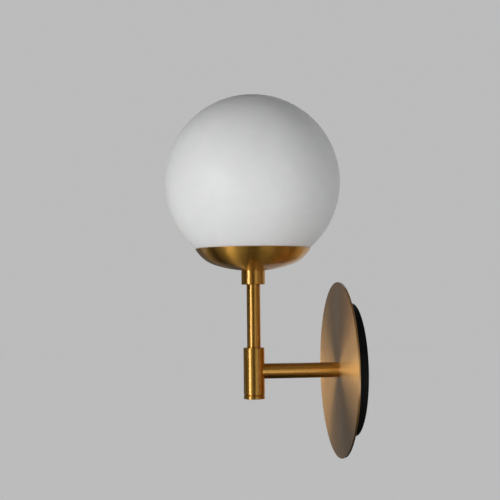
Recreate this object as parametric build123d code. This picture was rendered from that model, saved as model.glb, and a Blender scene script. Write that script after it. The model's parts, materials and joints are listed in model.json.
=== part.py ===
from build123d import *
import math
import os

# Globe wall sconce: an opal glass globe in a spun brass bowl, on a turned stem, hub and arm.
# Millimetres. The wall is the plane y = 0 and the lamp stands out from it along -y, with +z up.
# The origin is where the axis of the arm meets the wall.

# ---------------------------------------------------------------- driving dimensions
# globe
globe_diameter = 150.0
globe_wall = 3.0
globe_hole_diameter = 56.0  # inner edge of the ground opening

# spun bowl under the globe
bowl_cover_angle = 40.5  # from straight down to the rim, seen from the globe's centre
bowl_crown_radius = 105.3  # large arc of the floor
bowl_shoulder_radius = 30.4  # smaller arc up to the rim
bowl_rim_slope = 29.7  # how far the wall still leans out at the rim, degrees
bowl_wall = 1.0
bowl_rim_land = 0.5  # flat left on the rim outside the bevel that follows the glass

# turned stem, collar, hub and arm
collar_diameter = 20.3
collar_height = 12.1
stem_diameter = 11.65
stem_length = 54.0  # the part that shows
hub_diameter = 18.0
hub_above_arm = 20.0  # top of the hub over the arm's axis
hub_below_arm = 19.8  # end of the hub's body under the arm's axis
hub_chamber_diameter = 13.0
hub_chamber_roof = 9.0  # top of the wiring chamber over the arm's axis
cap_height = 2.9
cap_groove_height = 0.7
cap_groove_depth = 0.8
cap_thread_length = 5.0
cap_thread_wall = 1.5
arm_diameter = 13.0
edge_break = 0.4  # small chamfer on turned brass

# lamp thread, a 10 mm pipe thread drawn as a plain cylinder
thread_diameter = 10.0
thread_gap = 0.05  # radial play of a thread
nipple_bore = 7.0
thread_in_collar = 6.0
thread_in_hub = 8.0
nipple_in_arm = 9.0
nut_across_flats = 14.0
nut_height = 2.8
washer_diameter = 16.0
washer_thickness = 0.8
washer_teeth = 10
nipple_end_gap = 0.2  # between the ends of two tubes in one thread
nipple_proud = 0.6  # past the strap that it holds down
nipple_short = 0.4  # inside the last nut

# wall end
axis_to_wall = 86.0  # axis of the stem to the wall
canopy_depth = 13.0  # front of the disc to the wall
disc_diameter = 151.0
disc_thickness = 1.6
pan_diameter = 114.0
pan_wall = 1.0
pan_bevel = 1.5  # pressed front edge
pan_hole_gap = 0.3  # round the canopy screws
bracket_margin = 2.0  # round the bracket, inside the pan
bracket_thickness = 1.6
bracket_hole_diameter = 32.0
slot_spacing = 80.0
slot_length = 20.0
slot_width = 4.8
ear_width = 14.0
ear_height = 8.0
ear_gap = 0.3  # ear to the inside of the pan

# screws: shank diameter, head diameter, head height
canopy_screw = (4.0, 7.5, 2.4)
ground_screw_size = (3.5, 7.0, 2.0)
holder_screw = (3.0, 5.0, 1.8)
block_screw = (2.9, 5.2, 1.6)
screw_gap = 0.05
screw_edge = 0.45  # share of a head's height that its edge slopes over
cross_slot = (0.6, 0.14)  # length and width as shares of the head's diameter
head_clearance = 0.2
canopy_screw_length = 7.0
holder_screw_length = 10.0

# spring clip in the globe's opening
clip_thickness = 0.6
clip_leg_width = 8.0
clip_legs = 3
clip_play = 0.3  # leg to the edge of the glass
clip_rise = 4.0  # how far each leg swells out under the edge and leans in over it
clip_bend = 1.2
gasket_margin = 0.8  # the soft ring reaches past the ground edge on both sides
gasket_gap = 0.05  # under it

# lampholder
holder_length = 28.0
holder_width = 17.0
holder_flange_height = 7.0
holder_height = 20.0
holder_bracket_width = 14.0
holder_bracket_thickness = 1.2
holder_bracket_rise = 8.6
holder_bracket_bend = 1.0
holder_brim = 5.5  # length of each end of the strap under the holder
pin_pitch = 9.0
pin_slot = (2.4, 4.4)
contact_thickness = 0.4
contact_play = 0.1  # fork to pin
fork_gap = 0.3  # fork to the ends of its slot
slot_room = 1.0  # under the fork
wire_play = 0.2  # wire to the hole that it passes

# two-pin capsule lamp
bulb_diameter = 16.0
bulb_base_height = 10.0
bulb_base_bevel = (1.5, 2.5)  # in and up, at the foot
bulb_cover_height = 30.0
bulb_cover_wall = 1.0
cover_lap = 2.0  # the cover's skirt over the base
dome_steps = 4
bulb_boss = (13.5, 6.0, 5.5)
boss_gap = 0.4
pin_wire = 1.0
pin_length = 7.0
pin_end_gap = 0.5  # under the pin, to the bend of its fork
column_diameter = 9.0
column_height = 24.0
chip_size = (2.6, 2.6, 0.5)
chip_rows = 4

# terminal block on the wall bracket
pole_pitch = 10.0
poles = 3
block_height = 13.0
block_depth = 7.6
block_top = -20.0
sleeve_diameter = 4.2
sleeve_bore = 2.6
sleeve_length = 11.0
clamp_screw_diameter = 2.5  # the small screws that hold the wires in the sleeves
clamp_hole_gap = 0.3  # round them, in the plastic
clamp_sunk = 0.4  # their ends under the block's face
clamp_slot = (0.6, 1.0)  # width, depth
fixing_sunk = 0.6  # head of the fixing screw under the block's face

# wiring
wire_diameter = 1.8
wire_offset = 1.3  # each wire beside the axis of the tubes
hub_bend = 5.0
canopy_bend = 3.2
bushing_lip = 0.8
bushing_length = 4.0  # inside the tube
bushing_play = 0.05
lug_thickness = 0.8
lug_wall = 0.6
lug_barrel = (5.0, 10.0)  # near and far end of the barrel from the screw
lug_neck_width = 2.4
lug_neck_lap = 1.5  # length of the neck under the barrel
lug_centre = (29.0, -12.0)  # x and z of the ground screw

rest_gap = 0.3  # what lifts off or pulls out, to its seat

# ---------------------------------------------------------------- worked out from them
thread_hole = thread_diameter + 2 * thread_gap
arm_bore = thread_hole
stem_bore = nipple_bore
stem_bottom = hub_above_arm
stem_top = stem_bottom + stem_length
collar_top = stem_top + collar_height
bowl_floor = collar_top + bowl_wall  # top of the bowl's flat seat
glass_inner_radius = globe_diameter / 2 - globe_wall
rim_slope = math.radians(bowl_rim_slope)
cover = math.radians(bowl_cover_angle)
glass_gap_radius = globe_diameter / 2 + rest_gap
rim_inner_radius = glass_gap_radius * math.sin(cover)
rim_radius = rim_inner_radius + bowl_rim_land
hole_below_centre = math.sqrt(glass_inner_radius**2 - (globe_hole_diameter / 2) ** 2)
ground_edge_radius = math.sqrt((globe_diameter / 2) ** 2 - hole_below_centre**2)

# the bowl's outline: a flat seat, the crown arc round a centre on the axis, and the shoulder arc
seat_radius = collar_diameter / 2
crown_centre = collar_top + math.sqrt(bowl_crown_radius**2 - seat_radius**2)
arc_step = bowl_crown_radius - bowl_shoulder_radius  # between the centres of the two arcs
shoulder_out = rim_radius - bowl_shoulder_radius * math.cos(rim_slope)
arcs_meet = math.asin(shoulder_out / arc_step)  # angle from straight down
shoulder_centre = crown_centre - arc_step * math.cos(arcs_meet)
rim_height = shoulder_centre - bowl_shoulder_radius * math.sin(rim_slope)
globe_centre = rim_height + glass_gap_radius * math.cos(cover)
ground_edge = globe_centre - hole_below_centre

disc_back = canopy_depth - disc_thickness
pan_inside = disc_back - pan_wall  # distance of the pan's inner face from the wall
pan_inner_radius = pan_diameter / 2 - pan_wall
bracket_diameter = 2 * (pan_inner_radius - bracket_margin)
washer_end = pan_inside - washer_thickness
arm_nut_end = washer_end - nut_height
arm_nipple_end = arm_nut_end + nipple_short
ear_outside = math.sqrt(pan_inner_radius**2 - (ear_width / 2) ** 2) - ear_gap
ear_screw_out = bracket_thickness + ear_height / 2

clip_top = bowl_floor + clip_thickness
fitter_washer_top = clip_top + washer_thickness
fitter_nut_top = fitter_washer_top + nut_height
holder_bottom = fitter_nut_top + holder_bracket_rise
holder_top = holder_bottom + holder_height
fitter_nipple_top = fitter_nut_top + holder_bracket_thickness + nipple_proud
bulb_bottom = holder_top + rest_gap

lug_bore = wire_diameter / 2 + screw_gap
lug_axis = bracket_thickness + lug_bore + lug_wall  # of the barrel, over the wall


# ---------------------------------------------------------------- helpers
def at_stem(shape):
    """Puts a piece modelled round the z axis onto the axis of the stem."""
    return Pos(0, -axis_to_wall, 0) * shape


def off_wall(shape):
    """Turns a piece modelled with +z out of the wall and +y up onto the wall."""
    return Rot(90, 0, 0) * shape


def turned(*outline):
    """A lathe part from its half section, given as radius and height."""
    return revolve(Plane.XZ * make_face(Polyline(*outline, close=True)), Axis.Z)


def ring(outer_radius, inner_radius, bottom, top):
    return turned((inner_radius, bottom), (outer_radius, bottom), (outer_radius, top), (inner_radius, top))


def rod(radius, bottom, top):
    return Pos(0, 0, bottom) * Cylinder(radius, top - bottom, align=(Align.CENTER, Align.CENTER, Align.MIN))


def bent_strip(points, radius, thickness, width):
    """A strip bent in the x-z plane along the middle of its thickness."""
    section = trace(FilletPolyline(*points, radius=radius), line_width=thickness)
    return extrude(Plane.XZ * section, amount=width / 2, both=True)


def hexagon_nut(bottom):
    blank = Pos(0, 0, bottom) * extrude(
        RegularPolygon(nut_across_flats / 2, 6, major_radius=False), amount=nut_height
    )
    return blank - rod(thread_hole / 2, bottom, bottom + nut_height)


def toothed_washer(bottom):
    gap_width = math.pi * washer_diameter / washer_teeth / 2
    tooth_depth = (washer_diameter - thread_diameter) / 5
    blank = ring(washer_diameter / 2, thread_hole / 2, bottom, bottom + washer_thickness)
    gaps = PolarLocations(washer_diameter / 2, washer_teeth) * Box(
        2 * tooth_depth, gap_width, 4 * washer_thickness
    )
    return blank - [Pos(0, 0, bottom) * gap for gap in gaps]


def screw(size, length):
    """A pan head screw with a cross slot, its head's underside at z = 0 and its shank downwards."""
    shank, head, head_height = size
    top = head_height
    body = turned(
        (0, -length), (shank / 2, -length), (shank / 2, 0), (head / 2, 0), (head / 2, top * (1 - screw_edge)),
        (head / 2 - top * screw_edge, top), (0, top),
    )
    long_side, short_side = head * cross_slot[0], head * cross_slot[1]
    slot = Box(long_side, short_side, top) + Box(short_side, long_side, top)
    return body - Pos(0, 0, top) * slot


# ---------------------------------------------------------------- globe and bowl
def bowl_body(inset):
    """The bowl filled up to its rim, its outline moved in by inset."""
    crown, shoulder = bowl_crown_radius - inset, bowl_shoulder_radius - inset
    floor = collar_top + inset

    def on_crown(angle):
        return (crown * math.sin(angle), crown_centre - crown * math.cos(angle))

    def on_shoulder(angle):
        return (shoulder_out + shoulder * math.sin(angle), shoulder_centre - shoulder * math.cos(angle))

    seat_angle = math.acos((crown_centre - floor) / crown)
    rim_angle = math.acos((shoulder_centre - rim_height) / shoulder)
    seat, rim = on_crown(seat_angle), on_shoulder(rim_angle)
    outline = [
        Line((0, floor), seat),
        ThreePointArc(seat, on_crown((seat_angle + arcs_meet) / 2), on_crown(arcs_meet)),
        ThreePointArc(on_crown(arcs_meet), on_shoulder((arcs_meet + rim_angle) / 2), rim),
        Line(rim, (0, rim_height)),
        Line((0, rim_height), (0, floor)),
    ]
    return revolve(Plane.XZ * make_face(outline), Axis.Z)


def make_globe():
    def half_round(radius):
        start = -math.degrees(math.asin(hole_below_centre / radius))
        return CenterArc((0, 0), radius, start, 90 - start)

    outside = half_round(globe_diameter / 2)
    inside = half_round(glass_inner_radius)
    wall = make_face([outside, inside, Line(outside @ 0, inside @ 0), Line(outside @ 1, inside @ 1)])
    return Pos(0, 0, globe_centre) * revolve(Plane.XZ * wall, Axis.Z)


def bowl_inside(radius):
    """Height of the bowl's inner face at a radius."""
    crown, shoulder = bowl_crown_radius - bowl_wall, bowl_shoulder_radius - bowl_wall
    if radius < crown * math.sin(arcs_meet):
        return crown_centre - math.sqrt(crown**2 - radius**2)
    return shoulder_centre - math.sqrt(shoulder**2 - (radius - shoulder_out) ** 2)


def make_gasket():
    """A soft ring that fills the wedge between the ground edge and the bowl."""
    inner = globe_hole_diameter / 2 + gasket_margin
    outer = ground_edge_radius + gasket_margin
    top = ground_edge - rest_gap
    under = [(radius, bowl_inside(radius) + gasket_gap) for radius in (inner, (inner + outer) / 2, outer)]
    return turned(*under, (outer, top), (inner, top))


def make_bowl():
    glass = Pos(0, 0, globe_centre) * Sphere(glass_gap_radius)
    shell = bowl_body(0) - bowl_body(bowl_wall) - glass
    return shell - rod(thread_hole / 2, collar_top, bowl_floor)


def make_clip():
    """A spring spider: a centre washer and three legs that stand in the globe's opening."""
    reach = globe_hole_diameter / 2 - clip_play - clip_thickness / 2
    middle = bowl_floor + clip_thickness / 2
    points = [
        (thread_diameter / 2 + 2 * clip_bend, middle),
        (seat_radius - clip_bend, middle),
        (reach - clip_rise, ground_edge - clip_rise / 2),
        (reach, ground_edge + clip_rise / 2),
        (reach - clip_rise, ground_edge + 2 * clip_rise),
    ]
    leg = bent_strip(points, clip_bend, clip_thickness, clip_leg_width)
    centre = ring(seat_radius, thread_hole / 2, bowl_floor, clip_top)
    for turn in range(clip_legs):
        centre += Rot(0, 0, 90 + 360 / clip_legs * turn) * leg
    return centre


def make_collar():
    radius = collar_diameter / 2
    return turned(
        (thread_hole / 2, stem_top), (radius - edge_break, stem_top), (radius, stem_top + edge_break),
        (radius, collar_top), (thread_hole / 2, collar_top),
    )


def make_fitter_nipple():
    bottom = stem_top + thread_in_collar + nipple_end_gap
    return ring(thread_diameter / 2, nipple_bore / 2, bottom, fitter_nipple_top)


# ---------------------------------------------------------------- lampholder
def make_holder_bracket():
    """A strap bent like a hat, screwed down on the threaded tube, with the holder on its brim."""
    middle = fitter_nut_top + holder_bracket_thickness / 2
    brim = holder_bottom - holder_bracket_thickness / 2
    half = holder_length / 2
    web = half - holder_brim
    points = [(-half, brim), (-web, brim), (-web, middle), (web, middle), (web, brim), (half, brim)]
    strap = bent_strip(points, holder_bracket_bend, holder_bracket_thickness, holder_bracket_width)
    strap -= rod(thread_hole / 2, fitter_nut_top, middle + holder_bracket_thickness)
    for side in (-1, 1):
        hole = rod(holder_screw[0] / 2 + screw_gap, brim - 2, brim + 2)
        strap -= Pos(side * holder_screw_place(), 0, 0) * hole
    return strap


def holder_screw_place():
    return holder_length / 2 - holder_screw[1] / 2


def make_holder_body():
    flange = extrude(SlotOverall(holder_length, holder_width), amount=holder_flange_height)
    tower = extrude(Circle(holder_width / 2), amount=holder_height)
    body = Pos(0, 0, holder_bottom) * (flange + tower)
    well_depth = bulb_boss[2] + boss_gap
    well_floor = holder_top - well_depth
    well = Box(
        bulb_boss[0] + 2 * boss_gap, bulb_boss[1] + 2 * boss_gap, well_depth,
        align=(Align.CENTER, Align.CENTER, Align.MAX),
    )
    body -= Pos(0, 0, holder_top) * well
    for side in (-1, 1):
        slot = Box(*pin_slot, pin_slot_depth(), align=(Align.CENTER, Align.CENTER, Align.MAX))
        body -= Pos(side * pin_pitch / 2, 0, well_floor) * slot
        wire_hole = rod(wire_diameter / 2 + wire_play, holder_bottom, well_floor)
        body -= Pos(side * pin_pitch / 2, 0, 0) * wire_hole
        screw_hole = rod(holder_screw[0] / 2 + screw_gap, holder_bottom, holder_top)
        body -= Pos(side * holder_screw_place(), 0, 0) * screw_hole
    return body


def pin_slot_depth():
    return pin_length + contact_thickness + slot_room


def contact_floor():
    return holder_top - bulb_boss[2] - boss_gap - pin_slot_depth()


def make_contacts():
    """A spring fork in each slot, which grips the looped pin on both sides."""
    half = pin_wire / 2 + contact_play + contact_thickness / 2
    bottom = contact_floor() + contact_thickness / 2
    fork = Plane.XZ * trace(
        Polyline((-half, bottom + pin_length), (-half, bottom), (half, bottom), (half, bottom + pin_length)),
        line_width=contact_thickness,
    )
    fork = extrude(fork, amount=pin_slot[1] / 2 - fork_gap, both=True)
    return Compound([Pos(side * pin_pitch / 2, 0, 0) * fork for side in (-1, 1)])


def make_holder_screws():
    one = Pos(0, 0, holder_bottom + holder_flange_height) * screw(holder_screw, holder_screw_length)
    return Compound([Pos(side * holder_screw_place(), 0, 0) * one for side in (-1, 1)])


# ---------------------------------------------------------------- capsule lamp
def make_bulb_base():
    radius = bulb_diameter / 2
    top = bulb_bottom + bulb_base_height
    seat = radius - bulb_cover_wall - screw_gap
    bevel_in, bevel_up = bulb_base_bevel
    body = turned(
        (0, bulb_bottom), (radius - bevel_in, bulb_bottom), (radius, bulb_bottom + bevel_up),
        (radius, top - cover_lap), (seat, top - cover_lap), (seat, top), (0, top),
    )
    return body + Pos(0, 0, bulb_bottom) * Box(*bulb_boss, align=(Align.CENTER, Align.CENTER, Align.MAX))


def make_bulb_pins():
    """Two pins, each bent back into a loop."""
    boss_end = bulb_bottom - bulb_boss[2]
    half = pin_wire
    loop = boss_end - pin_length + half + pin_wire / 2 + pin_end_gap
    line = Polyline((-half, boss_end), (-half, loop))
    line += ThreePointArc((-half, loop), (0, loop - half), (half, loop))
    line += Line((half, loop), (half, boss_end))
    pin = extrude(Plane.YZ * trace(line, line_width=pin_wire), amount=pin_wire / 2, both=True)
    return Compound([Pos(side * pin_pitch / 2, 0, 0) * pin for side in (-1, 1)])


def make_led_column():
    """A six-sided board column with rows of chips on its flats."""
    bottom = bulb_bottom + bulb_base_height
    column = extrude(RegularPolygon(column_diameter / 2, 6, major_radius=False), amount=column_height)
    row_pitch = column_height / chip_rows
    chip = Box(chip_size[2], chip_size[0], chip_size[1], align=(Align.MIN, Align.CENTER, Align.CENTER))
    for row in range(chip_rows):
        for side in range(6):
            place = Rot(0, 0, 30 + 60 * side) * Pos(column_diameter / 2, 0, row_pitch * (row + 0.5))
            column += place * chip
    return Pos(0, 0, bottom) * column


def make_bulb_cover():
    """A thin cover, closed by a dome of short bevelled steps."""
    radius = bulb_diameter / 2
    inner = radius - bulb_cover_wall
    bottom = bulb_bottom + bulb_base_height - cover_lap
    dome = bulb_bottom + bulb_base_height + bulb_cover_height - radius
    angles = [math.pi / 2 * step / dome_steps for step in range(dome_steps + 1)]
    outside = [(radius * math.cos(angle), dome + radius * math.sin(angle)) for angle in angles]
    inside = [(inner * math.cos(angle), dome + inner * math.sin(angle)) for angle in reversed(angles)]
    return turned((radius, bottom), *outside, *inside, (inner, bottom))


# ---------------------------------------------------------------- stem, hub and arm
def make_stem():
    """A tube turned down at both ends to the thread."""
    thread, radius, bore = thread_diameter / 2, stem_diameter / 2, stem_bore / 2
    low, high = stem_bottom - thread_in_hub, stem_top + thread_in_collar
    return turned(
        (bore, low), (thread, low), (thread, stem_bottom), (radius, stem_bottom),
        (radius, stem_top), (thread, stem_top), (thread, high), (bore, high),
    )


def make_hub():
    """A round body bored from both ends, with a threaded hole in its side for the arm."""
    radius, chamber = hub_diameter / 2, hub_chamber_diameter / 2
    body = turned(
        (chamber, -hub_below_arm), (radius, -hub_below_arm), (radius, hub_above_arm - edge_break),
        (radius - edge_break, hub_above_arm), (thread_hole / 2, hub_above_arm),
        (thread_hole / 2, hub_chamber_roof), (chamber, hub_chamber_roof),
    )
    side_hole = Rot(-90, 0, 0) * rod(thread_hole / 2, 0, hub_diameter)
    return body - side_hole


def make_cap():
    """The screwed end cap, with the turned groove that parts it from the hub."""
    radius = hub_diameter / 2
    groove = radius - cap_groove_depth
    thread = hub_chamber_diameter / 2 - thread_gap
    bottom = -hub_below_arm - cap_groove_height - cap_height
    rounding = 2 * edge_break
    thread_top = -hub_below_arm + cap_thread_length
    return turned(
        (0, bottom), (radius - rounding, bottom), (radius, bottom + rounding),
        (radius, bottom + cap_height), (groove, bottom + cap_height), (groove, -hub_below_arm),
        (thread, -hub_below_arm), (thread, thread_top), (thread - cap_thread_wall, thread_top),
        (thread - cap_thread_wall, -hub_below_arm), (0, -hub_below_arm),
    )


def make_hub_nipple():
    start = math.sqrt((hub_chamber_diameter / 2) ** 2 - (thread_diameter / 2) ** 2)
    end = hub_diameter / 2 + nipple_in_arm
    return Rot(-90, 0, 0) * ring(thread_diameter / 2, nipple_bore / 2, start, end)


def make_arm():
    """A tube whose end is coped to sit round the hub."""
    tube = Rot(-90, 0, 0) * ring(arm_diameter / 2, arm_bore / 2, 0, axis_to_wall - canopy_depth)
    return tube - Cylinder(hub_diameter / 2, 3 * arm_diameter)


# ---------------------------------------------------------------- wall end
def make_arm_nipple():
    return ring(thread_diameter / 2, nipple_bore / 2, arm_nipple_end, canopy_depth + nipple_in_arm)


def make_disc():
    disc = ring(disc_diameter / 2, thread_hole / 2, disc_back, canopy_depth)
    rim = disc.edges().filter_by(GeomType.CIRCLE).sort_by(SortBy.RADIUS)[-2:]
    return chamfer(rim, edge_break / 2)


def make_pan():
    """A shallow pressed pan, open to the wall, with a bevelled front edge and two screw holes."""
    outer, inner = pan_diameter / 2, pan_inner_radius
    inner_bevel = pan_bevel - pan_wall / 2
    pan = turned(
        (inner, 0), (outer, 0), (outer, disc_back - pan_bevel), (outer - pan_bevel, disc_back),
        (thread_hole / 2, disc_back), (thread_hole / 2, pan_inside),
        (inner - inner_bevel, pan_inside), (inner, pan_inside - inner_bevel),
    )
    return pan - Pos(0, 0, ear_screw_out) * Rot(90, 0, 0) * Cylinder(
        canopy_screw[0] / 2 + pan_hole_gap, 2 * pan_diameter
    )


def make_bracket():
    """A round plate with two slots for the box screws and two ears bent out at top and bottom."""
    plate = extrude(Circle(bracket_diameter / 2), amount=bracket_thickness)
    reach = ear_outside - bracket_thickness / 2
    plate &= Box(bracket_diameter, 2 * (reach - 2 * bracket_thickness), 4 * bracket_thickness)
    start = reach - 4 * bracket_thickness
    ear_points = [
        (start, bracket_thickness / 2),
        (reach, bracket_thickness / 2),
        (reach, bracket_thickness + ear_height),
    ]
    ear = Rot(0, 0, 90) * bent_strip(ear_points, bracket_thickness, bracket_thickness, ear_width)
    plate += ear + Rot(0, 0, 180) * ear
    plate -= rod(bracket_hole_diameter / 2, 0, bracket_thickness)
    slot = extrude(SlotOverall(slot_length, slot_width), amount=bracket_thickness)
    for side in (-1, 1):
        plate -= Pos(side * slot_spacing / 2, 0, 0) * slot
    plate -= Pos(0, 0, ear_screw_out) * Rot(90, 0, 0) * Cylinder(
        canopy_screw[0] / 2 + screw_gap, 2 * bracket_diameter
    )
    plate -= Pos(*lug_centre, 0) * rod(ground_screw_size[0] / 2 + screw_gap, 0, bracket_thickness)
    fixing = Pos(block_screw_place(), block_middle(), 0)
    plate -= fixing * rod(block_screw[0] / 2 + screw_gap, 0, bracket_thickness)
    return plate


def make_canopy_screws():
    one = Pos(0, pan_diameter / 2, ear_screw_out) * Rot(-90, 0, 0) * screw(canopy_screw, canopy_screw_length)
    return Compound([one, Rot(0, 0, 180) * one])


# ---------------------------------------------------------------- terminal block
def block_middle():
    return block_top - block_height / 2


def block_screw_place():
    return pole_pitch / 2


def pole_places():
    return [pole_pitch * (pole - (poles - 1) / 2) for pole in range(poles)]


def sleeve_height():
    """Height of the sleeves' axis over the wall."""
    return bracket_thickness + block_depth / 2


def fixing_head_seat():
    return bracket_thickness + block_depth - block_screw[2] - fixing_sunk


def screw_rows():
    return [block_middle() + side * sleeve_length / 4 for side in (-1, 1)]


def make_block():
    body = Box(poles * pole_pitch, block_height, block_depth, align=(Align.CENTER, Align.CENTER, Align.MIN))
    body = Pos(0, block_middle(), bracket_thickness) * body
    head_seat = fixing_head_seat()
    well = rod(block_screw[1] / 2 + head_clearance, head_seat, head_seat + block_depth)
    hole = rod(block_screw[0] / 2 + screw_gap, 0, head_seat)
    body -= Pos(block_screw_place(), block_middle(), 0) * (well + hole)
    access = rod(clamp_screw_diameter / 2 + clamp_hole_gap, sleeve_height(), 2 * canopy_depth)
    for place in pole_places():
        tunnel = Rot(90, 0, 0) * Cylinder(sleeve_diameter / 2 + screw_gap, 2 * block_height)
        body -= Pos(place, block_middle(), sleeve_height()) * tunnel
        for row in screw_rows():
            body -= Pos(place, row, 0) * access
    return body


def make_sleeves():
    tube = Rot(90, 0, 0) * Cylinder(sleeve_diameter / 2, sleeve_length)
    tube -= Rot(90, 0, 0) * Cylinder(sleeve_bore / 2, sleeve_length)
    tapped_hole = rod(clamp_screw_diameter / 2 + screw_gap, sleeve_height(), 2 * canopy_depth)
    sleeves = []
    for place in pole_places():
        sleeve = Pos(place, block_middle(), sleeve_height()) * tube
        for row in screw_rows():
            sleeve -= Pos(place, row, 0) * tapped_hole
        sleeves.append(sleeve)
    return Compound(sleeves)


def make_terminal_screws():
    low = sleeve_height() + wire_diameter / 2 + screw_gap
    high = bracket_thickness + block_depth - clamp_sunk
    slot_width, slot_depth = clamp_slot
    slot = Box(2 * clamp_screw_diameter, slot_width, 2 * slot_depth)
    one = rod(clamp_screw_diameter / 2, low, high) - Pos(0, 0, high) * slot
    return Compound([Pos(place, row, 0) * one for place in pole_places() for row in screw_rows()])


def make_block_screw():
    fixing = screw(block_screw, fixing_head_seat())
    return Pos(block_screw_place(), block_middle(), fixing_head_seat()) * fixing


def make_ground_screw():
    under_head = bracket_thickness + lug_thickness
    return Pos(*lug_centre, under_head) * screw(ground_screw_size, under_head)


def make_lug():
    """A ring tag with a short barrel for the ground wire."""
    near, far = lug_barrel
    eye_hole = ground_screw_size[0] / 2 + screw_gap
    eye = ring(ground_screw_size[1] / 2, eye_hole, bracket_thickness, bracket_thickness + lug_thickness)
    neck = Box(near + lug_neck_lap, lug_neck_width, lug_thickness, align=(Align.MAX, Align.CENTER, Align.MIN))
    neck = Pos(0, 0, bracket_thickness) * neck - rod(eye_hole, 0, canopy_depth)
    barrel = Pos(0, 0, lug_axis) * Rot(0, -90, 0) * ring(lug_bore + lug_wall, lug_bore, near, far)
    passage = Pos(0, 0, lug_axis) * Rot(0, -90, 0) * rod(lug_bore, near - lug_wall, far)
    return Pos(*lug_centre, 0) * (eye + neck + barrel - passage)


# ---------------------------------------------------------------- wiring
def wire_along(points, radii):
    """A round wire along straight runs joined by tangent arcs, with a check of its volume."""
    path = FilletPolyline(*points, radius=radii)
    start = Plane(origin=path @ 0, z_dir=path % 0)
    wire = sweep(start * Circle(wire_diameter / 2), path=path.wires()[0])
    expected = path.length * math.pi * wire_diameter**2 / 4
    print(f"wire {path.length:.1f} long, radii {radii}, volume share {wire.volume / expected:.4f}")
    return wire


def supply_wire(pole, offset):
    """From a pole of the terminal block through arm, hub and stem into the lampholder."""
    place = pole_places()[pole]
    terminal = -sleeve_height()
    drop = -(arm_nipple_end - 0.3 - canopy_bend)
    side = math.copysign(pin_pitch / 2, offset)
    points = [
        (place, terminal, block_top - sleeve_length / 2),
        (place, terminal, block_top + 5.5),
        (offset, drop, -7.5),
        (offset, drop, 0),
        (offset, -axis_to_wall, 0),
        (offset, -axis_to_wall, fitter_nipple_top + 1.0),
        (side, -axis_to_wall, holder_bottom - 1.0),
        (side, -axis_to_wall, contact_floor() - 0.2),
    ]
    return wire_along(points, [3.0, 3.0, canopy_bend, hub_bend, 5.0, 5.0])


def make_ground_wire():
    """From the third pole of the terminal block to the lug under the ground screw."""
    place = pole_places()[2]
    terminal = -sleeve_height()
    barrel = -lug_axis
    points = [
        (place, terminal, block_top - sleeve_length / 2),
        (place, terminal, lug_centre[1]),
        (lug_centre[0] - lug_barrel[1] - 2.0, barrel, lug_centre[1]),
        (lug_centre[0] - lug_barrel[0] - 0.2, barrel, lug_centre[1]),
    ]
    return wire_along(points, [3.0, 3.0])


def make_bushings():
    """Flanged plastic sleeves in the ends of the two threaded tubes, where the wires come out."""
    outer = nipple_bore / 2 - bushing_play
    inner = wire_offset + wire_diameter / 2 + rest_gap
    lip = thread_diameter / 2 - edge_break

    def bushing(end):
        return turned(
            (inner, end - bushing_length), (outer, end - bushing_length), (outer, end), (lip, end),
            (lip, end + bushing_lip), (inner, end + bushing_lip),
        )

    upper = at_stem(bushing(fitter_nipple_top))
    lower = off_wall(Pos(0, 0, arm_nipple_end) * Rot(180, 0, 0) * bushing(0))
    return Compound([upper, lower])


# ---------------------------------------------------------------- everything, one file a piece
def make_all():
    return {
        "globe": at_stem(make_globe()),
        "globe_gasket": at_stem(make_gasket()),
        "globe_clip": at_stem(make_clip()),
        "fitter_bowl": at_stem(make_bowl()),
        "fitter_collar": at_stem(make_collar()),
        "fitter_nipple": at_stem(make_fitter_nipple()),
        "fitter_lock_washer": at_stem(toothed_washer(clip_top)),
        "fitter_nut": at_stem(hexagon_nut(fitter_washer_top)),
        "lampholder_bracket": at_stem(make_holder_bracket()),
        "lampholder_body": at_stem(make_holder_body()),
        "lampholder_contacts": at_stem(make_contacts()),
        "lampholder_screws": at_stem(make_holder_screws()),
        "bulb_base": at_stem(make_bulb_base()),
        "bulb_pins": at_stem(make_bulb_pins()),
        "bulb_led_column": at_stem(make_led_column()),
        "bulb_cover": at_stem(make_bulb_cover()),
        "stem": at_stem(make_stem()),
        "hub": at_stem(make_hub()),
        "hub_end_cap": at_stem(make_cap()),
        "hub_nipple": at_stem(make_hub_nipple()),
        "arm": at_stem(make_arm()),
        "arm_nipple": off_wall(make_arm_nipple()),
        "arm_lock_washer": off_wall(toothed_washer(washer_end)),
        "arm_nut": off_wall(hexagon_nut(arm_nut_end)),
        "backplate": off_wall(make_disc()),
        "canopy_pan": off_wall(make_pan()),
        "canopy_screws": off_wall(make_canopy_screws()),
        "wall_bracket": off_wall(make_bracket()),
        "terminal_block": off_wall(make_block()),
        "terminal_sleeves": off_wall(make_sleeves()),
        "terminal_screws": off_wall(make_terminal_screws()),
        "terminal_fixing_screw": off_wall(make_block_screw()),
        "ground_screw": off_wall(make_ground_screw()),
        "ground_lug": off_wall(make_lug()),
        "nipple_bushings": make_bushings(),
        "line_wire": supply_wire(0, -wire_offset),
        "neutral_wire": supply_wire(1, wire_offset),
        "ground_wire": make_ground_wire(),
    }


os.makedirs("parts", exist_ok=True)
for node, solid in make_all().items():
    export_step(solid, f"parts/{node}.step")
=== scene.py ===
import json
import math

import bmesh
import bpy
from mathutils import Matrix, Vector

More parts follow.
